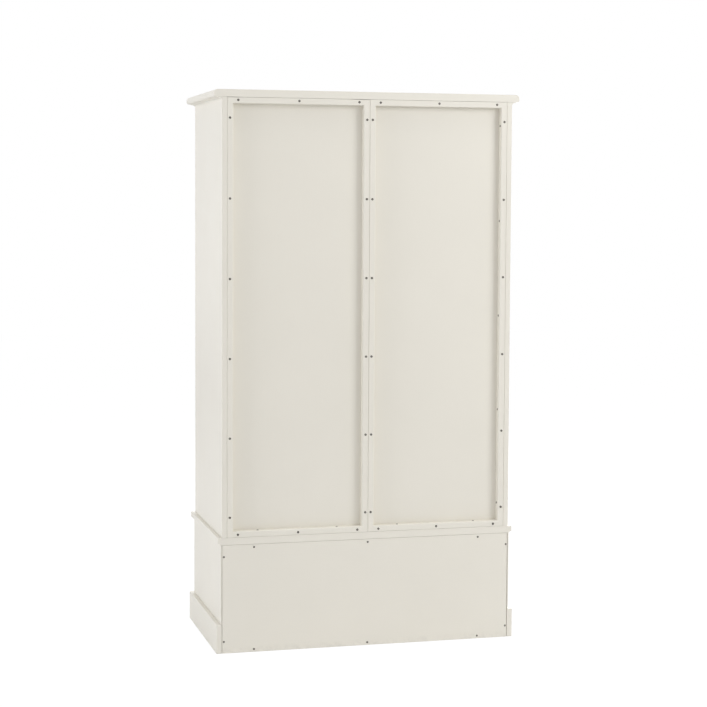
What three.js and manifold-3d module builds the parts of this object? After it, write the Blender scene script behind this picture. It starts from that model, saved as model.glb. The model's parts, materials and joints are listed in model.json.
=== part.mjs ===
// A two-part painted armoire: an upper cupboard with two framed doors, on a base with two drawers.
// Millimetres, +Z up. The front faces -Y and the back faces +Y; left and right are as seen from the
// front, so left is -X. The origin is on the floor, under the middle of the overall box.
import * as THREE from "three";
import { mergeVertices } from "three/addons/utils/BufferGeometryUtils.js";
import Module from "manifold-3d";

const wasm = await Module();
wasm.setup();

// ---- Overall sizes ----
const carcassWidth = 1046; // over the upper cupboard's side boards
const carcassDepth = 542; // from the face frame's front to the back
const totalHeight = 1950;

// ---- Boards ----
const boardThickness = 18; // sides, tops, bottoms, shelf and divider
const faceThickness = 22; // face frame
const jointGap = 0.25; // between any two boards that meet
const runningGap = 0.5; // between a drawer and what carries it

// ---- Cornice: a moulded top board with a cove under it, round the front and both sides ----
const cornice = {
  thickness: 26, overhang: 27, topRound: 13, bottomRound: 8,
  coveHeight: 8, coveProjection: 14, coveLip: 2,
};

// ---- Base ----
const plinthHeight = 102;
const plinthOverhang = 15;
const plinthChamfer = 2;
const baseSideThickness = 22;
const baseBodyHeight = 278; // from the plinth to the underside of the waist board
const waist = { thickness: 25, overhang: 14, topRound: 4, noseHeight: 18, coveDepth: 8, coveEnd: 1 };
const baseBackThickness = 6; // let into a rebate
const backLip = 4; // what is left of the sides beside the rebate
const backPanelFit = 0.6; // between the panel and each side of the rebate
const rearRailHeight = 22;

// ---- Back of the upper cupboard: two framed panels side by side ----
const batten = { width: 21, depth: 26, round: 3 };
const backPanelThickness = 6;
const cleatSize = 22; // posts inside that the frames are screwed to
const frameFit = 0.5; // round each frame, on its own side of the seam

// ---- Face frame and doors ----
const faceStileWidth = 45;
const faceTopRailHeight = 50;
const door = {
  gap: 3, thickness: 20, stile: 70, topRail: 75, bottomRail: 100,
  panelThickness: 8, panelSetBack: 7, groove: 9, panelFit: 1, tenonFit: 0.3,
};

// ---- Inside the cupboard ----
const hatSpaceHeight = 248; // between the hat shelf and the top panel
const shelfSetBack = 12; // behind the face frame
const rail = { radius: 12.5, wall: 1.5, drop: 55, endFit: 0.5 };
const socket = { flangeRadius: 24, flange: 3, bossRadius: 16, depth: 13, boreFit: 0.3 };

// ---- Drawers ----
const drawer = {
  gap: 3, frontThickness: 20, side: 12, sideGap: 2, boxHeight: 190, rearSpace: 18,
  bottomThickness: 6, bottomLift: 10, groove: 6, grooveFit: 0.3,
};

// ---- Knobs: height is from the door's face to the front of the knob ----
const knob = {
  radius: 17, height: 25, headHeight: 14, neckRadius: 8, footRadius: 12, footEdge: 2, footHeight: 3,
  neckFlare: 1, headRings: 7, steps: 28,
};
const doorKnobHeight = 1120;

// ---- Butt hinges ----
const hinge = {
  height: 64, leaf: 1.2, knuckleRadius: 3.6, axisForward: 4, pinRadius: 1.6, pinFit: 0.3,
  knuckles: 3, knuckleGap: 0.4, leafEndMargin: 1.5, capRadius: 3.2, capHeight: 2, pinInCap: 1,
  fromDoorEnd: 130,
};

// ---- Places worked out from the sizes ----
const rearY = (carcassDepth + cornice.overhang) / 2;
const frontY = rearY - carcassDepth;
const halfWidth = carcassWidth / 2;
const insideX = halfWidth - boardThickness;
const baseHalfWidth = insideX + baseSideThickness;
const baseRearY = rearY - baseBackThickness;
const rebateHalfWidth = baseHalfWidth - backLip;
const faceBackY = frontY + faceThickness;
const baseTop = plinthHeight + baseBodyHeight;
const upperBottom = baseTop + waist.thickness;
const upperTop = totalHeight - cornice.thickness;
const backPanelY = rearY - batten.depth - backPanelThickness;
const cleatY = backPanelY - cleatSize;
const shelfUnderside = upperTop - boardThickness - hatSpaceHeight - boardThickness;
const openingX = halfWidth - faceStileWidth;
const doorTop = upperTop - faceTopRailHeight - door.gap;
const doorBottom = upperBottom + door.gap;

// ---- Materials ----
const finish = (colour, roughness, metalness = 0) =>
  new THREE.MeshStandardMaterial({ color: colour, roughness, metalness });
const paint = finish(0xe3ded1, 0.5);
const innerPaint = finish(0xe0dbcd, 0.6);
const drawerWood = finish(0xd8c7a4, 0.7);
const hingeSteel = finish(0x9b9588, 0.35, 0.9);
const railSteel = finish(0xc9c9c6, 0.25, 1);

// ---- Helpers ----
const armoire = new THREE.Group();

function solid(geometry) {
  const bare = geometry.index ? geometry.toNonIndexed() : geometry.clone();
  bare.deleteAttribute("normal");
  bare.deleteAttribute("uv");
  const merged = mergeVertices(bare, 1e-4);
  return new wasm.Manifold(new wasm.Mesh({
    numProp: 3,
    vertProperties: new Float32Array(merged.attributes.position.array),
    triVerts: new Uint32Array(merged.index.array),
  }));
}

function geometryOf(manifold) {
  const mesh = manifold.getMesh();
  const geometry = new THREE.BufferGeometry();
  geometry.setAttribute("position", new THREE.BufferAttribute(mesh.vertProperties, 3));
  geometry.setIndex(new THREE.BufferAttribute(mesh.triVerts, 1));
  return geometry;
}

function place(name, material, geometry, x = 0, y = 0, z = 0) {
  const mesh = new THREE.Mesh(geometry, material);
  mesh.name = name;
  mesh.position.set(x, y, z);
  armoire.add(mesh);
}

// A box between two values on each axis. Each pair of values is [low, high].
function block([x0, x1], [y0, y1], [z0, z1]) {
  const box = new THREE.BoxGeometry(x1 - x0, y1 - y0, z1 - z0);
  return box.translate((x0 + x1) / 2, (y0 + y1) / 2, (z0 + z1) / 2);
}

// The same range, smaller by half a joint gap at each end, so that boards that meet don't touch.
const inJoint = ([low, high]) => [low + jointGap / 2, high - jointGap / 2];

// One board, given by the nominal space it fills.
function board(name, material, xs, ys, zs) {
  const ranges = [xs, ys, zs].map(inJoint);
  const lengths = ranges.map(([low, high]) => high - low);
  const middle = ranges.map(([low, high]) => (low + high) / 2);
  place(name, material, new THREE.BoxGeometry(...lengths), ...middle);
}

// A pair of values on one side of the middle: side is -1 for the left and 1 for the right.
const onSide = (side, near, far) => (side < 0 ? [-far, -near] : [near, far]);
const sideName = (side) => (side < 0 ? "left" : "right");

// A closed outline drawn in the XZ plane, extruded along Y between two values.
function extrudeAlongY(shape, [y0, y1]) {
  const bar = new THREE.ExtrudeGeometry(shape, { depth: y1 - y0, bevelEnabled: false, curveSegments: 6 });
  return bar.rotateX(Math.PI / 2).translate(0, y1, 0);
}

// A closed outline drawn in the YZ plane, extruded along X between two values.
function extrudeAlongX(shape, [x0, x1]) {
  const bar = new THREE.ExtrudeGeometry(shape, { depth: x1 - x0, bevelEnabled: false, curveSegments: 6 });
  return bar.rotateX(Math.PI / 2).rotateZ(Math.PI / 2).translate(x0, 0, 0);
}

// A slab whose front and side edges carry a moulding, and whose back edge is square. The moulding is
// a list of [distance out from the root, height] from the underside to the top, and reach is the
// furthest that it stands out.
function mouldedSlab(rootX, rootFrontY, backY, [bottom, top], reach, edge) {
  const sides = new THREE.Shape();
  sides.moveTo(0, bottom);
  for (const [out, z] of edge) sides.lineTo(rootX + out, z);
  sides.lineTo(0, top);
  for (const [out, z] of edge.toReversed()) sides.lineTo(-rootX - out, z);
  sides.closePath();
  const front = new THREE.Shape();
  front.moveTo(backY, top);
  for (const [out, z] of edge.toReversed()) front.lineTo(rootFrontY - out, z);
  front.lineTo(backY, bottom);
  front.closePath();
  const across = solid(extrudeAlongY(sides, [rootFrontY - 2 * reach, backY]));
  const along = solid(extrudeAlongX(front, [-rootX - 2 * reach, rootX + 2 * reach]));
  return across.intersect(along);
}

// Points of an arc about a centre, between two angles in degrees, as [distance out, height].
function arcPoints(centreOut, centreZ, radiusOut, radiusZ, fromDegrees, toDegrees, steps = 5) {
  return Array.from({ length: steps + 1 }, (_, i) => {
    const angle = THREE.MathUtils.degToRad(fromDegrees + ((toDegrees - fromDegrees) * i) / steps);
    return [centreOut + radiusOut * Math.cos(angle), centreZ + radiusZ * Math.sin(angle)];
  });
}

// ---- Cornice ----
function makeCornice() {
  const { overhang, topRound, bottomRound, coveHeight, coveProjection, coveLip } = cornice;
  const bottom = upperTop + jointGap / 2;
  const nose = [
    ...arcPoints(overhang - bottomRound, bottom + bottomRound, bottomRound, bottomRound, -90, 0),
    ...arcPoints(overhang - topRound, totalHeight - topRound, topRound, topRound, 0, 90),
  ];
  const slab = mouldedSlab(halfWidth, frontY, rearY, [bottom, totalHeight], overhang, nose);
  place("cornice_board", paint, geometryOf(slab));

  const coveTop = upperTop - jointGap / 2;
  const coveBottom = coveTop - coveHeight;
  const hollow = [
    [coveLip, coveBottom],
    ...arcPoints(coveProjection, coveBottom, coveProjection - coveLip, coveHeight - coveLip, 180, 90),
    [coveProjection, coveTop],
  ];
  const backY = rearY - jointGap / 2;
  const ring = mouldedSlab(halfWidth, frontY, backY, [coveBottom, coveTop], coveProjection, hollow);
  const carcass = solid(block([-halfWidth - jointGap, halfWidth + jointGap],
    [frontY - jointGap, rearY + 1], [coveBottom - 1, coveTop + 1]));
  place("cornice_cove", paint, geometryOf(ring.subtract(carcass)));
}

// ---- Upper cupboard's boards ----
function makeUpperCarcass() {
  const height = [upperBottom, upperTop];
  for (const side of [-1, 1]) {
    const name = sideName(side);
    board(`upper_side_${name}`, paint, onSide(side, insideX, halfWidth), [faceBackY, rearY], height);
    board(`face_stile_${name}`, paint, onSide(side, openingX, halfWidth), [frontY, faceBackY], height);
    board(`rear_cleat_${name}`, innerPaint, onSide(side, insideX - cleatSize, insideX),
      [cleatY, backPanelY], [upperBottom + boardThickness, upperTop - boardThickness]);
  }
  board("face_top_rail", paint, [-openingX, openingX], [frontY, faceBackY],
    [upperTop - faceTopRailHeight, upperTop]);
  board("upper_top_panel", innerPaint, [-insideX, insideX], [faceBackY, backPanelY],
    [upperTop - boardThickness, upperTop]);
  board("upper_bottom_panel", innerPaint, [-insideX, insideX], [faceBackY, backPanelY],
    [upperBottom, upperBottom + boardThickness]);
  board("rear_mullion", innerPaint, [-cleatSize, cleatSize], [cleatY, backPanelY],
    [upperBottom + boardThickness, upperTop - boardThickness]);
}

// A frame of four battens whose inner edges are rounded at the back, with the panel fixed in front.
function makeBackUnit(side) {
  const xs = onSide(side, frameFit, insideX - frameFit);
  const zs = [upperBottom + frameFit / 2, upperTop - frameFit];
  const { width, depth, round } = batten;
  const opening = [[xs[0] + width, xs[1] - width], [zs[0] + width, zs[1] - width]];
  const wide = opening[0][1] - opening[0][0];
  const tall = opening[1][1] - opening[1][0];

  // The hole grows towards the back in steps of the rounding.
  const whole = solid(block(xs, inJoint([rearY - depth, rearY]), zs));
  let frame = whole.subtract(solid(block(opening[0], [rearY - depth - 1, rearY + 1], opening[1])));
  const steps = 3;
  for (let i = 0; i < steps; i++) {
    const from = THREE.MathUtils.degToRad((90 * i) / steps);
    const to = THREE.MathUtils.degToRad((90 * (i + 1)) / steps);
    const out = (angle) => round * (1 - Math.cos(angle));
    const back = (angle) => rearY - jointGap / 2 - round * (1 - Math.sin(angle));
    frame = frame.subtract(flare(opening, wide, tall, out(from), out(to), back(from), back(to)));
  }
  place(`back_frame_${sideName(side)}`, paint, geometryOf(frame));
  board(`back_panel_${sideName(side)}`, paint, xs, [backPanelY, rearY - depth], zs);
}

// A tapered block that opens a frame's hole from one size to another between two depths.
function flare([openX, openZ], wide, tall, out0, out1, y0, y1) {
  const middleX = (openX[0] + openX[1]) / 2;
  const middleZ = (openZ[0] + openZ[1]) / 2;
  const corners = [];
  for (const [out, y] of [[out0, y0], [out1, y1]]) {
    for (const [sx, sz] of [[-1, -1], [1, -1], [1, 1], [-1, 1]]) {
      corners.push(new THREE.Vector3(middleX + sx * (wide / 2 + out), y, middleZ + sz * (tall / 2 + out)));
    }
  }
  const faces = [0, 1, 2, 0, 2, 3, 4, 6, 5, 4, 7, 6, 0, 5, 1, 0, 4, 5, 1, 6, 2, 1, 5, 6,
    2, 7, 3, 2, 6, 7, 3, 4, 0, 3, 7, 4];
  const wedge = new THREE.BufferGeometry().setFromPoints(corners);
  wedge.setIndex(faces);
  return solid(wedge);
}

// ---- Shelf and hanging rail ----
function makeInside() {
  board("hat_shelf", innerPaint, [-insideX, insideX], [faceBackY + shelfSetBack, cleatY],
    [shelfUnderside, shelfUnderside + boardThickness]);

  const railY = (faceBackY + cleatY) / 2;
  const railZ = shelfUnderside - rail.drop;
  const socketFace = insideX - jointGap / 2;
  const railEnd = socketFace - socket.flange - rail.endFit;
  const tube = new THREE.LatheGeometry([
    [rail.radius - rail.wall, -railEnd], [rail.radius, -railEnd],
    [rail.radius, railEnd], [rail.radius - rail.wall, railEnd],
    [rail.radius - rail.wall, -railEnd],
  ].map(([r, h]) => new THREE.Vector2(r, h)), 32);
  place("hanging_rail", railSteel, tube.rotateZ(Math.PI / 2), 0, railY, railZ);

  const bore = rail.radius + socket.boreFit;
  for (const side of [-1, 1]) {
    const cup = new THREE.LatheGeometry([
      [0, 0], [socket.flangeRadius, 0], [socket.flangeRadius, socket.flange],
      [socket.bossRadius, socket.flange], [socket.bossRadius, socket.depth],
      [bore, socket.depth], [bore, socket.flange], [0, socket.flange],
    ].map(([r, h]) => new THREE.Vector2(r, h)), 32);
    place(`rail_socket_${sideName(side)}`, railSteel, cup.rotateZ(side * Math.PI / 2),
      side * socketFace, railY, railZ);
  }
}

// ---- Doors ----
// A grooved stile or rail: a bar with a groove along the edge that faces the panel.
function makeDoor(side) {
  const name = `${sideName(side)}_door`;
  const ys = [frontY, frontY + door.thickness];
  const grooveYs = [frontY + door.panelSetBack, frontY + door.panelSetBack + door.panelThickness];
  const meeting = door.gap / 2;
  const hingeEdge = openingX - door.gap;
  const [lockStile, hingeStile] = [
    [meeting, meeting + door.stile],
    [hingeEdge - door.stile, hingeEdge],
  ];
  const zs = [doorBottom, doorTop];
  const panelX = [lockStile[1], hingeStile[0]];
  const panelZ = [doorBottom + door.bottomRail, doorTop - door.topRail];
  const xsOn = ([near, far]) => onSide(side, near, far);
  const loose = (range, by) => [range[0] - by, range[1] + by];

  // What the groove takes away from every bar: the panel's space, grown into the bars.
  const groove = solid(block(loose(xsOn(panelX), door.groove), grooveYs, loose(panelZ, door.groove)));
  for (const [part, xs] of [["lock_stile", lockStile], ["hinge_stile", hingeStile]]) {
    // The groove runs the stile's whole length, and the rails' tenons fill its ends.
    const run = solid(block(loose(xsOn(panelX), door.groove), grooveYs, loose(zs, 1)));
    const bar = solid(block(xsOn(xs), ys, zs)).subtract(run);
    place(`${name}_${part}`, paint, geometryOf(bar));
  }
  const railX = xsOn(panelX);
  const tenonYs = [grooveYs[0] + door.tenonFit, grooveYs[1] - door.tenonFit];
  const rails = [["top_rail", [panelZ[1], doorTop]], ["bottom_rail", [doorBottom, panelZ[0]]]];
  for (const [part, railZ] of rails) {
    const body = solid(block(inJoint(railX), ys, railZ));
    const tenon = solid(block(loose(railX, door.groove - door.tenonFit), tenonYs, railZ));
    place(`${name}_${part}`, paint, geometryOf(body.add(tenon).subtract(groove)));
  }
  const grow = door.groove - door.panelFit;
  const panelYs = [grooveYs[0] + door.tenonFit, grooveYs[1] - door.tenonFit];
  place(`${name}_panel`, paint, block(loose(railX, grow), panelYs, loose(panelZ, grow)));
  makeKnob(`${name}_knob`, side * (meeting + door.stile / 2), doorKnobHeight);
}

// A turned knob that stands on the plane of the doors and drawer fronts.
function makeKnob(name, x, z) {
  const { radius, height, headHeight, neckRadius, footRadius, footEdge, footHeight, headRings } = knob;
  const headStart = height - headHeight;
  const foot = [[0, 0], [footRadius, 0], [footRadius, footEdge], [neckRadius + knob.neckFlare, footHeight]];
  const head = Array.from({ length: headRings }, (_, i) => {
    const angle = Math.PI * ((i + 1) / headRings - 0.5);
    const out = i === headRings - 1 ? 0 : radius * Math.cos(angle) ** 0.7;
    return [out, headStart + (headHeight / 2) * (1 + Math.sin(angle))];
  });
  const profile = [...foot, [neckRadius, headStart], ...head].map(([r, h]) => new THREE.Vector2(r, h));
  const turned = new THREE.LatheGeometry(profile, knob.steps).rotateX(Math.PI);
  place(name, paint, turned, x, frontY - jointGap, z);
}

// ---- Hinges ----
// A knuckle, or the pin, as an upright cylinder about the hinge's own axis.
function upright(radius, [z0, z1], sides = 20) {
  const bar = new THREE.CylinderGeometry(radius, radius, z1 - z0, sides);
  return solid(bar.rotateX(Math.PI / 2).translate(0, 0, (z0 + z1) / 2));
}

function makeHinge(side, level, z) {
  const { height, leaf, knuckleRadius, pinRadius, pinFit, knuckles, knuckleGap } = hinge;
  const pitch = height / knuckles;
  const leafGap = door.gap / 2 - leaf; // from the pin's axis to each leaf
  const leafEnd = hinge.axisForward + Math.min(faceThickness, door.thickness) - hinge.leafEndMargin;
  const knuckleRange = (i) => [
    -height / 2 + i * pitch + (i ? knuckleGap / 2 : 0),
    -height / 2 + (i + 1) * pitch - (i < knuckles - 1 ? knuckleGap / 2 : 0),
  ];
  // The frame's leaf has the even knuckles and the pin, and the door's leaf has the odd ones.
  const makeLeaf = (parity, direction) => {
    const near = leafGap + jointGap / 2;
    const far = leafGap + leaf - jointGap / 2;
    let plate = solid(block(onSide(direction, near, far), [0, leafEnd], [-height / 2, height / 2]));
    for (let i = 0; i < knuckles; i++) {
      const [z0, z1] = knuckleRange(i);
      if (i % 2 === parity) plate = plate.add(upright(knuckleRadius, [z0, z1]));
      else plate = plate.subtract(upright(knuckleRadius + knuckleGap, [z0 - knuckleGap, z1 + knuckleGap]));
    }
    return plate;
  };
  const pinTop = height / 2 + hinge.capHeight;
  const pin = upright(pinRadius, [-pinTop + hinge.pinInCap, pinTop - hinge.pinInCap])
    .add(upright(hinge.capRadius, [height / 2, pinTop]))
    .add(upright(hinge.capRadius, [-pinTop, -height / 2]));
  const frameLeaf = makeLeaf(0, side).add(pin);
  const doorLeaf = makeLeaf(1, -side).subtract(upright(pinRadius + pinFit, [-pinTop, pinTop]));
  const x = side * (openingX - door.gap / 2);
  const y = frontY - hinge.axisForward;
  const name = `${sideName(side)}_${level}_hinge`;
  place(`${name}_frame_leaf`, hingeSteel, geometryOf(frameLeaf), x, y, z);
  place(`${name}_door_leaf`, hingeSteel, geometryOf(doorLeaf), x, y, z);
}

// ---- Base ----
// Cuts the rebate that the base's back panel lies in.
function cutBackRebate(piece) {
  const rebateX = [-rebateHalfWidth, rebateHalfWidth];
  return piece.subtract(solid(block(rebateX, [baseRearY, rearY + 1], [-1, baseTop + 1])));
}

// The plinth is a mitred ring of four boards, glued into one piece, which the base's sides stand on.
function makePlinth() {
  const top = plinthHeight - jointGap / 2;
  const edge = [[0, 0], [0, top - plinthChamfer], [-plinthChamfer, top]];
  const outerX = baseHalfWidth + plinthOverhang;
  const whole = mouldedSlab(outerX, frontY - plinthOverhang, rearY, [0, top], plinthChamfer, edge);
  const hollow = block([-insideX, insideX], [faceBackY, baseRearY - boardThickness], [-1, plinthHeight + 1]);
  place("plinth", paint, geometryOf(cutBackRebate(whole.subtract(solid(hollow)))));
}

function makeBaseBody() {
  const height = [plinthHeight, baseTop];
  for (const side of [-1, 1]) {
    const whole = solid(block(inJoint(onSide(side, insideX, baseHalfWidth)), inJoint([frontY, rearY]),
      inJoint(height)));
    place(`base_side_${sideName(side)}`, paint, geometryOf(cutBackRebate(whole)));
  }
  const frontOfBottom = frontY + drawer.frontThickness + runningGap;
  board("base_bottom_panel", innerPaint, [-insideX, insideX], [frontOfBottom, baseRearY],
    [plinthHeight, plinthHeight + boardThickness]);
  board("base_divider", paint, [-boardThickness / 2, boardThickness / 2],
    [frontY, baseRearY - boardThickness], [plinthHeight + boardThickness, baseTop]);
  board("base_rear_rail", innerPaint, [-insideX, insideX], [baseRearY - boardThickness, baseRearY],
    [baseTop - rearRailHeight, baseTop]);

  // The back panel runs down to the floor behind the plinth.
  const panelHalfWidth = rebateHalfWidth - backPanelFit;
  const panel = block([-panelHalfWidth, panelHalfWidth], inJoint([baseRearY, rearY]),
    [0, baseTop - backPanelFit]);
  place("base_back_panel", paint, panel);
}

function makeWaistBoard() {
  const { overhang, topRound, noseHeight, coveDepth, coveEnd } = waist;
  const bottom = baseTop + jointGap / 2;
  const top = upperBottom - jointGap / 2;
  const coveHeight = top - noseHeight - coveEnd - bottom;
  const edge = [
    [overhang - coveDepth, bottom],
    ...arcPoints(overhang, bottom, coveDepth, coveHeight, 180, 90),
    [overhang, top - noseHeight],
    ...arcPoints(overhang - topRound, top - topRound, topRound, topRound, 0, 90),
  ];
  const slab = mouldedSlab(halfWidth, frontY, rearY, [bottom, top], overhang, edge);
  place("waist_board", paint, geometryOf(slab));
}

// ---- Drawers ----
function makeDrawer(side) {
  const name = `${sideName(side)}_drawer`;
  const bayX = [boardThickness / 2, insideX]; // between the divider and the base's side
  const floor = plinthHeight + boardThickness + runningGap;
  const boxX = [bayX[0] + drawer.sideGap, bayX[1] - drawer.sideGap];
  const boxFront = frontY + drawer.frontThickness;
  const boxBack = baseRearY - boardThickness - drawer.rearSpace;
  const boxZ = [floor, floor + drawer.boxHeight];
  const xsOn = ([near, far]) => onSide(side, near, far);
  const innerX = [boxX[0] + drawer.side, boxX[1] - drawer.side];
  const innerY = [boxFront, boxBack - drawer.side];
  const bottomZ = [floor + drawer.bottomLift, floor + drawer.bottomLift + drawer.bottomThickness];
  const grown = (range, by) => [range[0] - by, range[1] + by];

  const frontZ = [plinthHeight + drawer.gap, baseTop - drawer.gap];
  const frontX = [bayX[0] + drawer.gap, bayX[1] - drawer.gap];
  board(`${name}_front`, paint, xsOn(frontX), [frontY, boxFront], frontZ);

  // The bottom slides into a groove in both sides and under the back.
  const groove = solid(block(grown(xsOn(innerX), drawer.groove), [boxFront - 1, boxBack + 1],
    grown(bottomZ, drawer.grooveFit)));
  for (const [part, xs] of [["inner_side", [boxX[0], innerX[0]]], ["outer_side", [innerX[1], boxX[1]]]]) {
    const bar = solid(block(xsOn(xs), inJoint([boxFront, boxBack]), boxZ));
    place(`${name}_${part}`, drawerWood, geometryOf(bar.subtract(groove)));
  }
  board(`${name}_back`, drawerWood, xsOn(innerX), [innerY[1], boxBack],
    [bottomZ[1] + drawer.grooveFit / 2, boxZ[1]]);
  place(`${name}_bottom`, drawerWood,
    block(grown(xsOn(innerX), drawer.groove - drawer.grooveFit), inJoint([boxFront, boxBack]), bottomZ));
  makeKnob(`${name}_knob`, side * (frontX[0] + frontX[1]) / 2, (frontZ[0] + frontZ[1]) / 2);
}

makeCornice();
makeUpperCarcass();
makeInside();
makePlinth();
makeBaseBody();
makeWaistBoard();
for (const side of [-1, 1]) {
  makeBackUnit(side);
  makeDoor(side);
  makeHinge(side, "upper", doorTop - hinge.fromDoorEnd);
  makeHinge(side, "lower", doorBottom + hinge.fromDoorEnd);
  makeDrawer(side);
}

export default armoire;
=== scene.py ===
"""The looks of a painted two-part armoire, seen from behind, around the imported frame. Metres."""
import bmesh
import bpy
import json
import math
import random
from mathutils import Matrix, Vector


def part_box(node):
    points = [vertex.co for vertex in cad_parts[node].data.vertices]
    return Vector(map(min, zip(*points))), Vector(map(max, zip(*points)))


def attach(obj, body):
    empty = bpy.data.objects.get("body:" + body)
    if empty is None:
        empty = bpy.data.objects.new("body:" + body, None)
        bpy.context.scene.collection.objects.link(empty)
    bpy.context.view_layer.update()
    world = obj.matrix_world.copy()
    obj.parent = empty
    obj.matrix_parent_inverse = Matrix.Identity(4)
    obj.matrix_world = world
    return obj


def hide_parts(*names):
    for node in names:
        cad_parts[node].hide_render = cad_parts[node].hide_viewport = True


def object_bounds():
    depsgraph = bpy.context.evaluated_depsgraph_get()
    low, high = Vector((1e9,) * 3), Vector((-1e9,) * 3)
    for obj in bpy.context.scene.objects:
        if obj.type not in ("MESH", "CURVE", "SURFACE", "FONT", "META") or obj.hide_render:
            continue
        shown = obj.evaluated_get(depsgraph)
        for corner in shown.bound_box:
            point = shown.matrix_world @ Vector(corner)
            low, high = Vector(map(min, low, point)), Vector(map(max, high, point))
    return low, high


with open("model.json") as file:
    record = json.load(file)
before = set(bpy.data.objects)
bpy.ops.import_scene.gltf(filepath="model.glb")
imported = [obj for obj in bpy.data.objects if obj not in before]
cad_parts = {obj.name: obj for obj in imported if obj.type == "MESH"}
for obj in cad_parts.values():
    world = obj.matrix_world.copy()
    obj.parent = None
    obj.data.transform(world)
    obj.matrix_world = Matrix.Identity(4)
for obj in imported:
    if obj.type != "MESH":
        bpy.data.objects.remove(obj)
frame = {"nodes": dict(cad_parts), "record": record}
cad_low, cad_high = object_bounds()

MM = 0.001
UP = Vector((0, 0, 1))
BACK = Vector((0, 1, 0))
SIDES = {"left": -1, "right": 1}
rng = random.Random(7)


# ---- Camera, light and floor ----

def make_camera():
    """Behind the armoire and a little to its right, at standing eye height."""
    to_the_right, behind, eye_height = 1.651, 6.051, 1.578
    lens, film_width, shift = 91.3, 36, -0.0566
    heading, tilt, roll = (math.radians(angle) for angle in (14.765, -3.651, 0.287))
    forward = Vector((
        -math.sin(heading) * math.cos(tilt),
        -math.cos(heading) * math.cos(tilt),
        math.sin(tilt),
    ))
    level_right = forward.cross(UP).normalized()
    level_up = level_right.cross(forward)
    right = level_right * math.cos(roll) + level_up * math.sin(roll)
    up = level_up * math.cos(roll) - level_right * math.sin(roll)
    camera = bpy.data.objects.new("camera", bpy.data.cameras.new("camera"))
    camera.data.lens = lens
    camera.data.sensor_width = film_width
    camera.data.shift_y = shift
    turn = Matrix((right, up, -forward)).transposed().to_4x4()
    place = Matrix.Translation((to_the_right, cad_high.y + behind, eye_height))
    camera.matrix_world = place @ turn
    bpy.context.scene.collection.objects.link(camera)
    bpy.context.scene.camera = camera


def make_lamp(name, place, target, size, power, colour=(1, 1, 1)):
    """A soft lamp at a place, turned towards a target."""
    lamp = bpy.data.objects.new(name, bpy.data.lights.new(name, "AREA"))
    lamp.data.shape = "RECTANGLE"
    lamp.data.size, lamp.data.size_y = size
    lamp.data.energy = power
    lamp.data.color = colour
    lamp.location = place
    lamp.rotation_euler = (Vector(target) - Vector(place)).to_track_quat("-Z", "Y").to_euler()
    bpy.context.scene.collection.objects.link(lamp)


def make_world(ambient):
    """White to the camera, to gloss and to glass, and a lower level for everything else."""
    world = bpy.data.worlds.new("studio")
    bpy.context.scene.world = world
    world.use_nodes = True
    nodes, links = world.node_tree.nodes, world.node_tree.links
    path = nodes.new("ShaderNodeLightPath")
    seen = nodes.new("ShaderNodeMath")
    seen.operation = "MAXIMUM"
    links.new(path.outputs["Is Camera Ray"], seen.inputs[0])
    gloss = nodes.new("ShaderNodeMath")
    gloss.operation = "MAXIMUM"
    links.new(path.outputs["Is Glossy Ray"], gloss.inputs[0])
    links.new(path.outputs["Is Transmission Ray"], gloss.inputs[1])
    links.new(gloss.outputs[0], seen.inputs[1])
    level = nodes.new("ShaderNodeMapRange")
    level.inputs["To Min"].default_value = ambient
    level.inputs["To Max"].default_value = 1
    links.new(seen.outputs[0], level.inputs["Value"])
    links.new(level.outputs["Result"], nodes["Background"].inputs["Strength"])
    nodes["Background"].inputs["Color"].default_value = (1, 1, 1, 1)


def make_floor():
    """A white floor that shows the armoire's shadow faintly."""
    reach, below, glow, white_level = 14, 0.2 * MM, 0.9, 1.06
    bm = bmesh.new()
    corners = ((-1, -1), (1, -1), (1, 1), (-1, 1))
    bm.faces.new([bm.verts.new((x * reach, y * reach, -below)) for x, y in corners])
    floor = add_object("floor", bm)
    g = Graph("floor white")
    g.shader.inputs["Base Color"].default_value = (0.9, 0.9, 0.9, 1)
    g.shader.inputs["Roughness"].default_value = 0.8
    white = g.add("ShaderNodeEmission", Strength=white_level)
    mix = g.add("ShaderNodeMixShader")
    path = g.add("ShaderNodeLightPath")
    part = g.math("MULTIPLY", path.outputs["Is Camera Ray"], glow)
    g.link(part, mix.inputs[0])
    g.link(g.shader.outputs[0], mix.inputs[1])
    g.link(white.outputs[0], mix.inputs[2])
    g.link(mix.outputs[0], g.output.inputs["Surface"])
    floor.data.materials.append(g.material)


# ---- Materials ----

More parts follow.
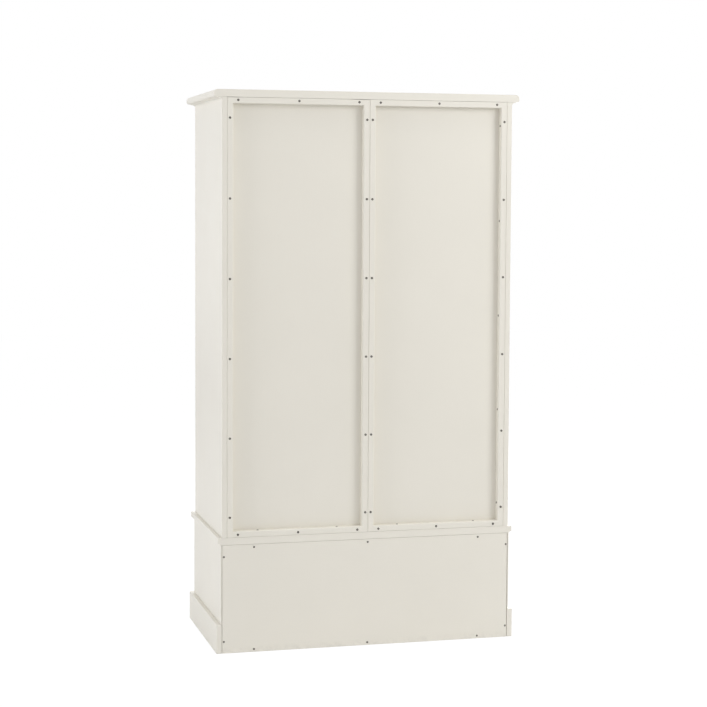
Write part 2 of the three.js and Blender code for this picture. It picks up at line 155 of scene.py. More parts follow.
class Graph:
    """A material's nodes, with short calls to add and link them."""

    def __init__(self, name):
        self.material = bpy.data.materials.new(name)
        self.material.use_nodes = True
        self.nodes = self.material.node_tree.nodes
        self.shader = self.nodes["Principled BSDF"]
        self.output = self.nodes["Material Output"]
        self.place = self.nodes.new("ShaderNodeTexCoord").outputs["Object"]

    def add(self, kind, **values):
        node = self.nodes.new(kind)
        for key, value in values.items():
            node.inputs[key.replace("_", " ")].default_value = value
        return node

    def link(self, source, target):
        self.material.node_tree.links.new(source, target)

    def feed(self, target, value):
        if isinstance(value, bpy.types.NodeSocket):
            self.link(value, target)
        else:
            target.default_value = value

    def math(self, operation, a, b=0.0):
        node = self.add("ShaderNodeMath")
        node.operation = operation
        self.feed(node.inputs[0], a)
        self.feed(node.inputs[1], b)
        return node.outputs[0]

    def stretched(self, stretch):
        """The object's own coordinates, squeezed along each axis."""
        node = self.add("ShaderNodeMapping")
        node.inputs["Scale"].default_value = stretch
        self.link(self.place, node.inputs["Vector"])
        return node.outputs[0]

    def noise(self, scale, detail=2.0, roughness=0.5, stretch=(1, 1, 1), distortion=0.0):
        """Noise with about this many blobs to the metre."""
        node = self.add("ShaderNodeTexNoise", Scale=scale, Detail=detail, Roughness=roughness,
                        Distortion=distortion)
        self.link(self.stretched(stretch), node.inputs["Vector"])
        return node.outputs["Fac"]

    def ranged(self, value, between, to):
        """A value mapped from one range onto another, and kept inside it."""
        node = self.add("ShaderNodeMapRange", From_Min=between[0], From_Max=between[1],
                        To_Min=to[0], To_Max=to[1])
        self.link(value, node.inputs["Value"])
        return node.outputs["Result"]

    def mixed(self, factor, a, b):
        node = self.add("ShaderNodeMix")
        node.data_type = "RGBA"
        self.feed(node.inputs["Factor"], factor)
        self.feed(node.inputs[6], a if isinstance(a, bpy.types.NodeSocket) else (*a, 1))
        self.feed(node.inputs[7], b if isinstance(b, bpy.types.NodeSocket) else (*b, 1))
        return node.outputs[2]

    def bumped(self, height, distance, strength=1.0, under=None):
        node = self.add("ShaderNodeBump", Strength=strength, Distance=distance)
        self.link(height, node.inputs["Height"])
        if under is not None:
            self.link(under, node.inputs["Normal"])
        return node.outputs["Normal"]

    def edges(self, radius):
        """About 0 on flat stretches and up to 1 on edges that stand out or turn in."""
        soft = self.add("ShaderNodeBevel", Radius=radius)
        soft.samples = 6
        hard = self.add("ShaderNodeNewGeometry")
        dot = self.add("ShaderNodeVectorMath")
        dot.operation = "DOT_PRODUCT"
        self.link(soft.outputs["Normal"], dot.inputs[0])
        self.link(hard.outputs["Normal"], dot.inputs[1])
        return self.ranged(dot.outputs["Value"], between=(0.98, 0.8), to=(0.0, 1.0))

    def crevices(self, reach):
        """0 in the open and up to 1 deep in corners and joints."""
        shade = self.add("ShaderNodeAmbientOcclusion", Distance=reach)
        shade.samples = 8
        return self.ranged(shade.outputs["AO"], between=(1.0, 0.2), to=(0.0, 1.0))

    def near_floor(self, height):
        """1 at the floor, fading to 0 at a height."""
        split = self.add("ShaderNodeSeparateXYZ")
        self.link(self.place, split.inputs[0])
        return self.ranged(split.outputs["Z"], between=(height, 0.0), to=(0.0, 1.0))


def scaled(colour, by):
    return tuple(min(1, c * by) for c in colour)


def drawn_out(grain, squeeze):
    """The stretch that draws a pattern out along one axis."""
    return tuple(squeeze if axis == grain else 1.0 for axis in "xyz")


def paint(name, colour, grain, roughness=0.42):
    """Satin paint, sprayed on board. grain is the axis that the wood under it runs along.

    Its edges are painted a little paler as a highlight, its corners a little darker as painted shade,
    and its foot is scuffed.
    """
    g = Graph(name)
    clouds = g.noise(scale=1.7, detail=3, roughness=0.6)
    duller, clearer = scaled(colour, 0.985), scaled(colour, 1.012)
    tone = g.mixed(g.ranged(clouds, between=(0.3, 0.7), to=(0.0, 1.0)), duller, clearer)
    along = drawn_out(grain, 0.03)
    fibres = g.noise(scale=420, detail=3, roughness=0.6, stretch=along, distortion=0.3)
    tone = g.mixed(g.ranged(fibres, between=(0.35, 0.75), to=(0.0, 0.05)), tone, scaled(colour, 0.86))
    # Painted highlight: rounded edges are lightened by up to 15%, in patches, to stand in for light
    # caught on the arrises.
    highlight_patches = g.ranged(g.noise(scale=60, detail=4, roughness=0.7), between=(0.4, 0.7), to=(0.15, 0.6))
    edge_highlight = g.math("MULTIPLY", g.edges(radius=1.6 * MM), highlight_patches)
    tone = g.mixed(edge_highlight, tone, scaled(colour, 1.15))
    # Painted shade: the colour darkens a little towards brown where ambient occlusion finds corners and
    # joints.
    corner_shade = g.math("MULTIPLY", g.crevices(reach=6 * MM), 0.04)
    tone = g.mixed(corner_shade, tone, (0.35, 0.30, 0.22))
    marks = g.ranged(g.noise(scale=38, detail=5, roughness=0.7), between=(0.48, 0.7), to=(0.0, 0.35))
    scuffs = g.math("MULTIPLY", g.near_floor(height=25 * MM), marks)
    tone = g.mixed(scuffs, tone, scaled(colour, 0.6))
    g.link(tone, g.shader.inputs["Base Color"])
    sheen = g.ranged(g.noise(scale=9, detail=4, roughness=0.6), between=(0.3, 0.7),
                     to=(roughness - 0.04, roughness + 0.05))
    g.link(sheen, g.shader.inputs["Roughness"])
    ridges = g.bumped(fibres, distance=0.05 * MM, strength=0.5)
    specks = g.noise(scale=650, detail=1, roughness=0.4)
    peel = g.bumped(specks, distance=0.03 * MM, strength=0.5, under=ridges)
    g.link(peel, g.shader.inputs["Normal"])
    return g.material


def pine(name, grain, turn=0.0, shade=1.0):
    """Clear-lacquered pine, with growth rings cut along the board."""
    g = Graph(name)
    along = drawn_out(grain, 0.05)
    warp = g.noise(scale=5.0, detail=3, roughness=0.5, stretch=along)
    rings = g.add("ShaderNodeTexWave", Scale=22.0, Distortion=5.0, Detail=3.0, Detail_Scale=1.4)
    rings.bands_direction = "DIAGONAL"
    place = g.add("ShaderNodeMapping")
    place.inputs["Scale"].default_value = along
    place.inputs["Location"].default_value = (turn, turn * 0.7, turn * 0.3)
    g.link(g.place, place.inputs["Vector"])
    g.link(place.outputs[0], rings.inputs["Vector"])
    early, late = scaled((0.70, 0.53, 0.33), shade), scaled((0.54, 0.36, 0.19), shade)
    tone = g.mixed(g.ranged(rings.outputs["Fac"], between=(0.45, 0.95), to=(0.0, 0.75)), early, late)
    tone = g.mixed(g.ranged(warp, between=(0.3, 0.7), to=(0.0, 0.35)), tone, (0.62, 0.46, 0.28))
    fibres = g.noise(scale=800, detail=2, roughness=0.6, stretch=along)
    tone = g.mixed(g.ranged(fibres, between=(0.4, 0.7), to=(0.0, 0.25)), tone, (0.45, 0.30, 0.16))
    g.link(tone, g.shader.inputs["Base Color"])
    g.link(g.ranged(fibres, between=(0.3, 0.7), to=(0.42, 0.58)), g.shader.inputs["Roughness"])
    g.link(g.bumped(fibres, distance=0.08 * MM, strength=0.6), g.shader.inputs["Normal"])
    return g.material


def metal(name, colour, roughness, brushed="z", dull=0.0):
    """Plated or blackened metal, with fine scratches along one axis and a few smudges."""
    g = Graph(name)
    scratches = g.noise(scale=2500, detail=2, roughness=0.6, stretch=drawn_out(brushed, 0.02))
    smudges = g.noise(scale=45, detail=3, roughness=0.6)
    tone = g.mixed(g.ranged(smudges, between=(0.35, 0.7), to=(0.0, 0.3)), colour, scaled(colour, 0.8))
    g.link(tone, g.shader.inputs["Base Color"])
    scratched = g.ranged(scratches, between=(0.3, 0.7), to=(roughness - 0.05, roughness + 0.07))
    smudged = g.ranged(smudges, between=(0.4, 0.8), to=(0.0, 0.08))
    g.link(g.math("ADD", scratched, smudged), g.shader.inputs["Roughness"])
    g.shader.inputs["Metallic"].default_value = 1.0 - dull
    g.link(g.bumped(scratches, distance=0.01 * MM, strength=0.4), g.shader.inputs["Normal"])
    return g.material


# ---- Mesh helpers ----

def add_object(name, bm):
    """A new object from a bmesh, with its faces pointing out."""
    bmesh.ops.recalc_face_normals(bm, faces=bm.faces)
    mesh = bpy.data.meshes.new(name)
    bm.to_mesh(mesh)
    bm.free()
    piece = bpy.data.objects.new(name, mesh)
    bpy.context.scene.collection.objects.link(piece)
    return piece


def finish_piece(piece, material, body, replaced=(), flat=False):
    """Smooth shading, a material, a body and the nodes it stands for. flat keeps flat faces flat."""
    for face in piece.data.polygons:
        face.use_smooth = True
    piece.data.set_sharp_from_angle(angle=math.radians(50))
    if flat:
        normals = piece.modifiers.new("flat faces stay flat", "WEIGHTED_NORMAL")
        normals.keep_sharp = True
        normals.weight = 90
    piece.data.materials.append(material)
    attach(piece, body)
    if replaced:
        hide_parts(*replaced)
    return piece


def round_edges(bm, radius, segments=2, sharper_than=35):
    """Rounds every edge where two faces turn by more than an angle in degrees."""
    limit = math.radians(sharper_than)
    sharp = [e for e in bm.edges if len(e.link_faces) == 2 and e.calc_face_angle(0) > limit]
    bmesh.ops.bevel(bm, geom=sharp, offset=radius, offset_type="OFFSET", segments=segments,
                    profile=0.5, affect="EDGES", clamp_overlap=True)


def open_joint(bm, node):
    """Lowers a board's top edge a little near both ends, so that the joint above it shows there."""
    low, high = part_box(node)
    drop, slope, hair = 0.7 * MM, 8 * MM, 0.1 * MM
    inner, outer = low.x + 56 * MM, high.x - 40 * MM
    for x in (inner, inner + slope, outer - slope, outer):
        bmesh.ops.bisect_plane(bm, geom=bm.verts[:] + bm.edges[:] + bm.faces[:], plane_co=(x, 0, 0),
                               plane_no=(1, 0, 0))
    for vert in bm.verts:
        if vert.co.z > high.z - hair and not inner + hair < vert.co.x < outer - hair:
            vert.co.z -= drop


def softened(node, material, radius, segments=2, trim=(0, 0), opened=False):
    """A CAD node's own solid with whole flat faces and rounded edges, in its place.

    trim takes this much off its width at the low end and the high end. opened lowers its top edge
    near both ends.
    """
    bm = bmesh.new()
    bm.from_mesh(frame["nodes"][node].data)
    if any(trim):
        low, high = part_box(node)
        narrower = 1 - sum(trim) / (high.x - low.x)
        for vert in bm.verts:
            vert.co.x = low.x + trim[0] + (vert.co.x - low.x) * narrower
    bmesh.ops.remove_doubles(bm, verts=bm.verts, dist=0.001 * MM)
    bmesh.ops.dissolve_limit(bm, angle_limit=math.radians(1), verts=bm.verts, edges=bm.edges)
    if opened:
        open_joint(bm, node)
    round_edges(bm, radius, segments)
    piece = add_object(node + "_finished", bm)
    return finish_piece(piece, material, body_of(node), [node], flat=True)


def body_of(node):
    bodies = frame["record"]["behaviour"]["bodies"]
    return next(body for body, nodes in bodies.items() if node in nodes)


def arc(centre, radii, start, end, steps):
    """Points of an arc, in degrees, as (out, up)."""
    points = []
    for i in range(steps + 1):
        angle = math.radians(start + (end - start) * i / steps)
        points.append((centre[0] + radii[0] * math.cos(angle), centre[1] + radii[1] * math.sin(angle)))
    return points


def u_path(half_width, front, back):
    """Corners of a path along a side, the front and the other side: (corner, how out moves it)."""
    return [
        (Vector((half_width, back, 0)), Vector((1, 0, 0))),
        (Vector((half_width, front, 0)), Vector((1, -1, 0))),
        (Vector((-half_width, front, 0)), Vector((-1, -1, 0))),
        (Vector((-half_width, back, 0)), Vector((-1, 0, 0))),
    ]


def join_rings(bm, ring, after):
    """A band of faces between two rings with as many corners."""
    for i in range(len(ring)):
        j = (i + 1) % len(ring)
        bm.faces.new((ring[i], ring[j], after[j], after[i]))


def prism(bm, ends):
    """A solid between two rings of corners."""
    join_rings(bm, *ends)
    for end in ends:
        bm.faces.new(end)


def sweep(bm, stations, outline, up=UP, closed_path=False):
    """Carries a closed outline of (out, up) points through the stations, mitred at each."""
    rings = [[bm.verts.new(corner + out * across + up * height) for across, height in outline]
             for corner, out in stations]
    pairs = list(zip(rings, rings[1:] + rings[:1]))
    for ring, after in pairs if closed_path else pairs[:-1]:
        join_rings(bm, ring, after)
    if not closed_path:
        bm.faces.new(rings[0])
        bm.faces.new(rings[-1])


def moulded_slab(bm, half_width, front, back, edge):
    """A solid board with a moulding round the front and sides. edge runs from bottom to top."""
    rings = [[bm.verts.new(corner + out * across + UP * height) for corner, out in
              u_path(half_width, front, back)] for across, height in edge]
    for ring, above in zip(rings, rings[1:]):
        for i in range(3):
            bm.faces.new((ring[i], ring[i + 1], above[i + 1], above[i]))
    bm.faces.new(rings[0])
    bm.faces.new(rings[-1])
    bm.faces.new([ring[0] for ring in rings] + [ring[3] for ring in reversed(rings)])


def lathe(bm, profile, origin, axis, steps=64):
    """Turns a profile of (radius, along) points about an axis. It starts and ends on the axis."""
    turn = axis.to_track_quat("Z", "Y").to_matrix()
    rings = []
    for radius, along in profile:
        if radius == 0:
            rings.append([bm.verts.new(origin + turn @ Vector((0, 0, along)))])
            continue
        ring = []
        for i in range(steps):
            angle = 2 * math.pi * i / steps
            spot = Vector((radius * math.cos(angle), radius * math.sin(angle), along))
            ring.append(bm.verts.new(origin + turn @ spot))
        rings.append(ring)
    for ring, after in zip(rings, rings[1:]):
        for i in range(steps):
            j = (i + 1) % steps
            corners = [ring[i % len(ring)], ring[j % len(ring)],
                       after[j % len(after)], after[i % len(after)]]
            bm.faces.new(list(dict.fromkeys(corners)))


def copies(template, places):
    """One bmesh with a copy of a mesh at each place."""
    bm = bmesh.new()
    for place in places:
        before = len(bm.verts)
        bm.from_mesh(template)
        bm.verts.ensure_lookup_table()
        bmesh.ops.transform(bm, matrix=place, verts=bm.verts[before:])
    return bm


# ---- Screws and seams ----

def cross_outline(reach, width):
    """The twelve corners of a cross, anticlockwise."""
    arm = [(reach, -width), (reach, width), (width, width)]
    turns = [Matrix.Rotation(math.radians(90 * i), 2) for i in range(4)]
    return [turn @ Vector(corner) for turn in turns for corner in arm]


def screw_mesh(radius, rise, sunk=1.0 * MM):
    """A low rounded head with a cross recess. Its skirt goes into the wood."""
    bm = bmesh.new()
    steps = 24
    levels = [(radius, -sunk), (radius, 0.25 * rise), (0.93 * radius, 0.7 * rise),
              (0.78 * radius, rise)]
    angles = [2 * math.pi * i / steps for i in range(steps)]
    rings = [[bm.verts.new((out * math.cos(angle), out * math.sin(angle), height))
              for angle in angles] for out, height in levels]
    for ring, above in zip(rings, rings[1:]):
        join_rings(bm, ring, above)
    bm.faces.new(rings[0])
    mouth = [bm.verts.new((p.x, p.y, rise)) for p in cross_outline(0.55 * radius, 0.13 * radius)]
    floor = [bm.verts.new((p.x, p.y, rise - 0.4 * radius))
             for p in cross_outline(0.3 * radius, 0.07 * radius)]
    join_rings(bm, mouth, floor)
    bm.faces.new(floor)
    border = [bm.edges.get((loop[i], loop[(i + 1) % len(loop)])) for loop in (rings[-1], mouth)
              for i in range(len(loop))]
    bmesh.ops.triangle_fill(bm, edges=border, use_beauty=True)
    bmesh.ops.recalc_face_normals(bm, faces=bm.faces)
    mesh = bpy.data.meshes.new("screw")
    bm.to_mesh(mesh)
    bm.free()
    return mesh


def facing(place, normal):
    """Where a head goes: on a point, facing along a normal, turned at random."""
    turn = Vector(normal).to_track_quat("Z", "Y").to_matrix().to_4x4()
    return Matrix.Translation(place) @ turn @ Matrix.Rotation(rng.uniform(0, math.pi), 4, "Z")


def spread(low, high, count):
    return [low + (high - low) * i / (count - 1) for i in range(count)]


def make_back_screws(screw, small_screw, dark):
    """Screws round each back frame and the base's back panel, and screws inside the frames."""
    batten, line = 21 * MM, 9.5 * MM
    end_margin, rail_margin = 70 * MM, 38 * MM
    inner_margin, inner_inset = 84 * MM, 110 * MM
    for side, sign in SIDES.items():
        low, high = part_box(f"back_frame_{side}")
        spots = [(x, z) for x in (low.x + line, high.x - line)
                 for z in spread(low.z + end_margin, high.z - end_margin, 6)]
        spots += [(x, z) for z in (low.z + line, high.z - line)
                  for x in spread(low.x + rail_margin, high.x - rail_margin, 3)]
        places = [facing((x, high.y, z), BACK) for x, z in spots]
        piece = add_object(f"back_frame_{side}_screws", copies(screw, places))
        finish_piece(piece, dark, "carcass")

        outer = low.x + batten if sign < 0 else high.x - batten
        depth = (low.y + high.y) / 2
        places = [facing((outer, depth, z), (-sign, 0, 0))
                  for z in spread(low.z + inner_margin, high.z - inner_margin, 5)]
        places += [facing((x, depth, low.z + batten), UP)
                   for x in (low.x + inner_inset, high.x - inner_inset)]
        piece = add_object(f"back_frame_{side}_inner_screws", copies(screw, places))
        finish_piece(piece, dark, "carcass")

    low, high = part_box("base_back_panel")
    row_margin, edge_margin = 113 * MM, 6.5 * MM
    height_margin, level_margin = 10 * MM, 41 * MM
    spots = [(x, z) for z in (low.z + height_margin, high.z - height_margin)
             for x in spread(low.x + row_margin, high.x - row_margin, 3)]
    spots += [(x, z) for x in (low.x + edge_margin, high.x - edge_margin)
              for z in (low.z + level_margin, high.z - level_margin)]
    places = [facing((x, high.y, z), BACK) for x, z in spots]
    finish_piece(add_object("base_back_screws", copies(small_screw, places)), dark, "carcass")


def make_seam_filler(material):
    """Painted-over filler a little way down the seams beside the back frames."""
    low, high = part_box("back_frame_right")
    depth, set_back, overlap = 8 * MM, 2.0 * MM, 0.4 * MM
    side_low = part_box("upper_side_right")[0]
    seams = [(-low.x, low.x), (high.x, side_low.x), (-side_low.x, -high.x)]
    bm = bmesh.new()
    for start, end in seams:
        outline = [(start - overlap, 0), (end + overlap, 0),
                   (end + overlap, depth), (start - overlap, depth)]
        prism(bm, [[bm.verts.new((x, high.y - set_back - inwards, z)) for x, inwards in outline]
                   for z in (low.z + MM, high.z - MM)])
    round_edges(bm, 0.2 * MM, segments=1)
    finish_piece(add_object("back_seam_filler", bm), material, "carcass")


# ---- Mouldings ----

def make_cornice(material):
    """The top board with its rounded nose, and the cove under it."""
    low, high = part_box("cornice_board")
    top_round, bottom_round, overhang = 13 * MM, 8 * MM, 27 * MM
    edge = arc((overhang - bottom_round, low.z + bottom_round), (bottom_round,) * 2, -90, 0, 8)
    edge += arc((overhang - top_round, high.z - top_round), (top_round,) * 2, 0, 90, 12)
    bm = bmesh.new()
    moulded_slab(bm, high.x - overhang, low.y + overhang, high.y, edge)
    round_edges(bm, 0.9 * MM, sharper_than=60)
    piece = add_object("cornice_board_finished", bm)
    finish_piece(piece, material, "carcass", ["cornice_board"])

    low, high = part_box("cornice_cove")
    reach, lip = 14 * MM, 2 * MM
    height = high.z - low.z
    outline = [(0, high.z), (0, low.z)]
    outline += arc((reach, low.z), (reach - lip, height - lip), 180, 90, 10)
    outline += [(reach, high.z)]
    bm = bmesh.new()
    sweep(bm, u_path(high.x - reach, low.y + reach, high.y), outline)
    round_edges(bm, 0.25 * MM, segments=1, sharper_than=50)
    piece = add_object("cornice_cove_finished", bm)
    finish_piece(piece, material, "carcass", ["cornice_cove"])


def make_waist(material):
    """The board between base and cupboard, with a rounded nose over a small cove."""
    low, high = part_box("waist_board")
    overhang, top_round, nose, cove, step = 14 * MM, 4 * MM, 18 * MM, 8 * MM, 1 * MM
    edge = [(overhang - cove, low.z)]
    edge += arc((overhang, low.z), (cove, high.z - low.z - nose - step), 180, 100, 10)[1:]
    edge += [(overhang, high.z - nose)]
    edge += arc((overhang - top_round, high.z - top_round), (top_round,) * 2, 0, 90, 8)
    bm = bmesh.new()
    moulded_slab(bm, high.x - overhang, low.y + overhang, high.y, edge)
    round_edges(bm, 0.7 * MM, sharper_than=60)
    piece = add_object("waist_board_finished", bm)
    finish_piece(piece, material, "carcass", ["waist_board"])


# ---- Fittings ----

def plate(bm, low, high, radius, segments=2):
    """A block with rounded edges between two corners."""
    made = bmesh.ops.create_cube(bm, size=1)["verts"]
    size = Vector(high) - Vector(low)
    for vert in made:
        vert.co = Vector(low) + Vector([(vert.co[i] + 0.5) * size[i] for i in range(3)])
    edges = list({edge for vert in made for edge in vert.link_edges})
    bmesh.ops.bevel(bm, geom=edges, offset=radius, offset_type="OFFSET", segments=segments, profile=0.5,
                    affect="EDGES", clamp_overlap=True)


def bead(bm, xs, zs, y, forward, width, height, sunk=0.3 * MM):
    """A quarter-round bead inside a rectangle, standing on the face at y."""
    corners = [(xs[0], zs[0], 1, 1), (xs[1], zs[0], -1, 1),
               (xs[1], zs[1], -1, -1), (xs[0], zs[1], 1, -1)]
    stations = [(Vector((x, y, z)), Vector((in_x, 0, in_z))) for x, z, in_x, in_z in corners]
    outline = [(-sunk, -sunk), (width, -sunk), *arc((0, 0), (width, height), 0, 90, 10),
               (-sunk, height)]
    sweep(bm, stations, outline, up=Vector((0, forward, 0)), closed_path=True)


def make_door_beads(material):
    """Beads round the door panels, on the outside and, a little smaller, on the inside."""
    for side in SIDES:
        stiles = sorted((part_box(f"{side}_door_{part}_stile") for part in ("hinge", "lock")),
                        key=lambda box: box[0].x)
        xs = (stiles[0][1].x, stiles[1][0].x)
        zs = (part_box(f"{side}_door_bottom_rail")[1].z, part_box(f"{side}_door_top_rail")[0].z)
        low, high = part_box(f"{side}_door_panel")
        bm = bmesh.new()
        bead(bm, xs, zs, low.y, forward=-1, width=7 * MM, height=6 * MM)
        bead(bm, xs, zs, high.y, forward=1, width=5 * MM, height=4 * MM)
        finish_piece(add_object(f"{side}_door_beads", bm), material, f"{side}_door")


def make_catches(plastic, steel, screw):
    """A magnetic catch under the shelf for each door, with a strike plate on the door."""
    shelf_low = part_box("hat_shelf")[0]
    width, height, reach, magnet_gap = 40 * MM, 15 * MM, 32 * MM, 1.4 * MM
    from_centre, pole, strike_half = 38 * MM, (0.38 * width, 0.7 * MM), (12 * MM, 7 * MM)
    pole_proud, pole_reach, strike_sunk, strike_rise = 0.5 * MM, 6 * MM, 0.2 * MM, 0.7 * MM
    for side, sign in SIDES.items():
        door_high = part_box(f"{side}_door_lock_stile")[1]
        middle = sign * from_centre
        front, top = door_high.y + magnet_gap, shelf_low.z
        bm = bmesh.new()
        plate(bm, (middle - width / 2, front + pole_proud, top - height),
              (middle + width / 2, front + reach, top), radius=1.5 * MM, segments=3)
        finish_piece(add_object(f"{side}_catch", bm), plastic, "carcass")
        bm = bmesh.new()
        for z in (top - 0.35 * height, top - 0.65 * height):
            plate(bm, (middle - pole[0], front, z - pole[1]),
                  (middle + pole[0], front + pole_reach, z + pole[1]), radius=0.2 * MM)
        finish_piece(add_object(f"{side}_catch_poles", bm), steel, "carcass")
        bm = bmesh.new()
        strike = top - height / 2
        plate(bm, (middle - strike_half[0], door_high.y - strike_sunk, strike - strike_half[1]),
              (middle + strike_half[0], door_high.y + strike_rise, strike + strike_half[1]),
              radius=0.3 * MM)
        finish_piece(add_object(f"{side}_strike_plate", bm), steel, f"{side}_door")
        spot = facing((middle, door_high.y + strike_rise - 0.1 * MM, strike), BACK)
        piece = add_object(f"{side}_strike_screw", copies(screw, [spot]))
        finish_piece(piece, steel, f"{side}_door")


def make_hinge_screws(steel, screw):
    """Three countersunk screws in every hinge leaf, set a hair into its flat."""
    knuckle_reach, sunk = 12 * MM, 0.1 * MM
    holes = [(6 * MM, -21 * MM), (11 * MM, 0), (6 * MM, 21 * MM)]
    for node in [n for n in frame["nodes"] if n.endswith("_leaf")]:
        low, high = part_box(node)
        flat = [v.co.x for v in frame["nodes"][node].data.vertices if v.co.y > low.y + knuckle_reach]
        sign = 1 if low.x > 0 else -1
        faces_in = node.endswith("frame_leaf")
        inner, outer = sorted((min(flat), max(flat)), key=abs)
        x = inner if faces_in else outer
        normal = (-sign if faces_in else sign, 0, 0)
        middle = (low.z + high.z) / 2
        spots = [(x, high.y - back, middle + up) for back, up in holes]
        places = [facing(Vector(spot) - Vector(normal) * sunk, normal) for spot in spots]
        finish_piece(add_object(node + "_screws", copies(screw, places)), steel, body_of(node))


def make_rail(chrome, steel, screw):
    """A finer hanging rail, and two screws in each socket's flange."""
    low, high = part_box("hanging_rail")
    centre, radius, edge = (low + high) / 2, (high.z - low.z) / 2, 0.5 * MM
    length = high.x - low.x
    profile = [(0, 0), (radius - edge, 0), (radius, edge), (radius, length - edge),
               (radius - edge, length), (0, length)]
    bm = bmesh.new()
    lathe(bm, profile, Vector((low.x, centre.y, centre.z)), Vector((1, 0, 0)))
    piece = add_object("hanging_rail_polished", bm)
    finish_piece(piece, chrome, "carcass", ["hanging_rail"])
    flange, ring = 3 * MM, 20 * MM
    for side, sign in SIDES.items():
        low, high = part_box(f"rail_socket_{side}")
        x = (high.x if sign > 0 else low.x) - sign * flange
        places = [facing((x, centre.y, centre.z + up * ring), (-sign, 0, 0)) for up in (-1, 1)]
        piece = add_object(f"rail_socket_{side}_screws", copies(screw, places))
        finish_piece(piece, steel, "carcass")


def make_shelf_pegs(steel):
    """Four turned pegs under the hat shelf."""
    low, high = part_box("hat_shelf")
    radius, reach, edge, inset, sunk = 3.2 * MM, 10 * MM, 0.8 * MM, 40 * MM, 2 * MM
    profile = [(0, -sunk), (radius, -sunk),
               *arc((radius - edge, reach - edge), (edge, edge), 0, 90, 4), (0, reach)]
    bm = bmesh.new()
    for x, inwards in ((low.x, 1), (high.x, -1)):
        for y in (low.y + inset, high.y - inset):
            lathe(bm, profile, Vector((x, y, low.z - radius)), Vector((inwards, 0, 0)), steps=32)
    finish_piece(add_object("shelf_pegs", bm), steel, "carcass")


def make_dovetails(end_grain):
    """The ends of the back's pins, seen through each drawer side."""
    wide, narrow, proud, count = 15 * MM, 9 * MM, 0.15 * MM, 5
    set_in, sunk = 0.6 * MM, 0.5 * MM
    for side in SIDES:
        back_low, back_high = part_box(f"{side}_drawer_back")
        bm = bmesh.new()
        for part in ("inner", "outer"):
            low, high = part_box(f"{side}_drawer_{part}_side")
            outwards = 1 if low.x > back_high.x - MM else -1
            face = high.x if outwards > 0 else low.x
            for z in spread(back_low.z + wide, back_high.z - wide, count):
                ring = [(back_low.y, narrow / 2), (back_high.y - set_in, wide / 2),
                        (back_high.y - set_in, -wide / 2), (back_low.y, -narrow / 2)]
                prism(bm, [[bm.verts.new((x, y, z + up)) for y, up in ring]
                           for x in (face - outwards * sunk, face + outwards * proud)])
        round_edges(bm, 0.05 * MM, segments=1)
        finish_piece(add_object(f"{side}_drawer_dovetails", bm), end_grain, f"{side}_drawer")


# ---- Turned and metal parts ----

def make_knobs(material):
    """Turned knobs with a foot, a waist and a softly domed head."""
    for node in [n for n in frame["nodes"] if n.endswith("_knob")]:
        low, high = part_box(node)
        centre = (low + high) / 2
        length, radius = high.y - low.y, (high.z - low.z) / 2
        foot, neck, head = 0.7 * radius, 0.42 * radius, 0.56 * length
        foot_edge, foot_height, squareness = 1.2 * MM, 3 * MM, 0.55
        profile = [(0, 0), (foot, 0), (foot, foot_edge)]
        profile += arc((foot - foot_edge, foot_edge), (foot_edge,) * 2, 0, 80, 4)[1:]
        profile += arc((foot, length - head), (foot - neck, length - head - foot_height), 250, 180, 8)
        for a in range(-75, 90, 8):
            profile += [(radius * math.cos(math.radians(a)) ** squareness,
                         length - head / 2 + head / 2 * math.sin(math.radians(a)))]
        profile += [(0, length)]
        bm = bmesh.new()
        lathe(bm, profile, Vector((centre.x, high.y, centre.z)), -BACK)
        finish_piece(add_object(node + "_turned", bm), material, body_of(node), [node])


def make_boards(paints, inner_paints, pines):
    """Every board of the carcass, doors and drawers, from its CAD node."""
    shaped = ("cornice_board", "cornice_cove", "waist_board")
    slots = {s["node"]: s["material_slot"] for s in frame["record"]["subparts"]}
    radii = {"paint": 0.9 * MM, "inner_paint": 0.6 * MM, "drawer_wood": 0.5 * MM}
    families = {"paint": paints, "inner_paint": inner_paints, "drawer_wood": pines}
    base_seams = (1.2 * MM, 0.7 * MM)
    for node, slot in sorted(slots.items()):
        if slot not in radii or node in shaped:
            continue
        low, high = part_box(node)
        size = high - low
        grain = max("xyz", key=lambda axis: getattr(size, axis))
        trim = base_seams if node == "base_back_panel" else (0, 0)
        opened = node == "back_frame_right"
        softened(node, families[slot][grain], radii[slot], trim=trim, opened=opened)


def make_metalwork(nickel, chrome):
    """The hinge leaves and the rail's sockets, from their CAD nodes."""
    for node in frame["nodes"]:
        if node.endswith("_leaf"):
            softened(node, nickel, 0.15 * MM, segments=1)
        elif node.startswith("rail_socket"):
            softened(node, chrome, 0.3 * MM)


# ---- The scene ----

CREAM = (0.803, 0.77, 0.69)
DARK = (0.055, 0.047, 0.037)
DAYLIGHT = (0.985, 1.0, 1.05)
INSIDE_SHADE = 0.96

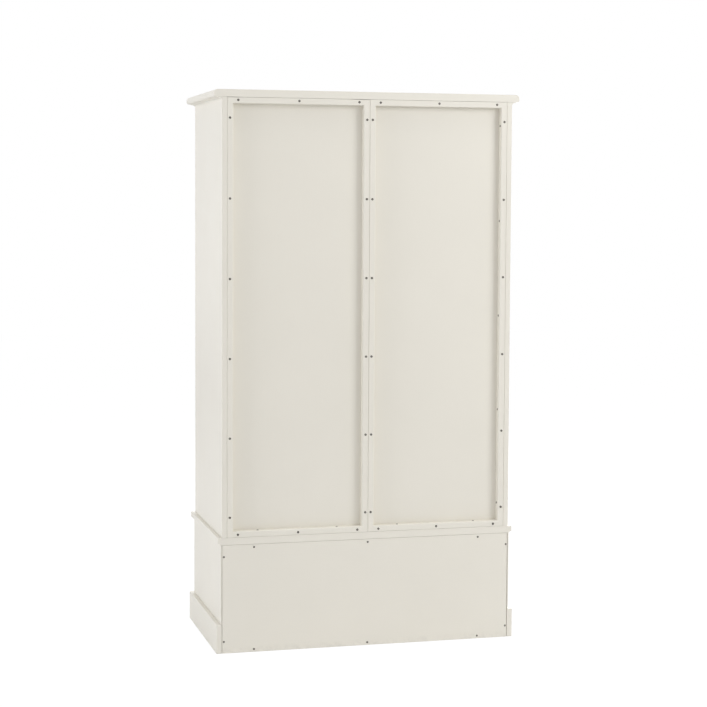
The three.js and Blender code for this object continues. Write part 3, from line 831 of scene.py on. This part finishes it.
make_camera()
make_world(ambient=0.443)
make_lamp("key", (-3.3, 3.5, 3.2), (0, 0.2, 0.9), size=(2.4, 2.4), power=107)
make_lamp("side_fill", (4.4, 0.8, 1.8), (0, 0.2, 1.1), size=(2.0, 2.4), power=72, colour=DAYLIGHT)
make_lamp("top_fill", (0, 1.1, 5.2), (0, 0.3, 1.0), size=(2.0, 1.6), power=33)
make_lamp("front_fill", (-1.8, -4.8, 2.2), (0, 0, 1.0), size=(3.0, 2.5), power=108)
make_floor()

paints = {axis: paint(f"cream paint {axis}", CREAM, axis) for axis in "xyz"}
inner_cream = scaled(CREAM, INSIDE_SHADE)
inner_paints = {axis: paint(f"inner cream paint {axis}", inner_cream, axis, roughness=0.55)
                for axis in "xyz"}
pines = {axis: pine(f"drawer pine {axis}", axis) for axis in "xyz"}
nickel = metal("satin nickel", (0.45, 0.42, 0.37), roughness=0.32)
chrome = metal("polished rail", (0.75, 0.75, 0.74), roughness=0.14, brushed="x")
plastic = paint("white plastic", (0.78, 0.78, 0.76), "x", roughness=0.5)
end_grain = pine("drawer end grain", "z", turn=3.1, shade=0.72)
blackened = metal("blackened screws", DARK, roughness=0.42, brushed="x", dull=0.3)

make_boards(paints, inner_paints, pines)
make_cornice(paints["x"])
make_waist(paints["x"])
make_knobs(paint("knob paint", CREAM, "z", roughness=0.4))
make_metalwork(nickel, chrome)
make_back_screws(screw_mesh(radius=3.9 * MM, rise=0.9 * MM), screw_mesh(radius=3.4 * MM, rise=0.8 * MM),
                 blackened)
make_seam_filler(paints["z"])
make_door_beads(paints["z"])
make_catches(plastic, nickel, screw_mesh(radius=3.0 * MM, rise=0.3 * MM, sunk=0.5 * MM))
make_hinge_screws(nickel, screw_mesh(radius=2.6 * MM, rise=0.15 * MM, sunk=0.5 * MM))
make_rail(chrome, nickel, screw_mesh(radius=2.4 * MM, rise=0.5 * MM))
make_shelf_pegs(nickel)
make_dovetails(end_grain)

bpy.context.scene.view_settings.view_transform = "Standard"
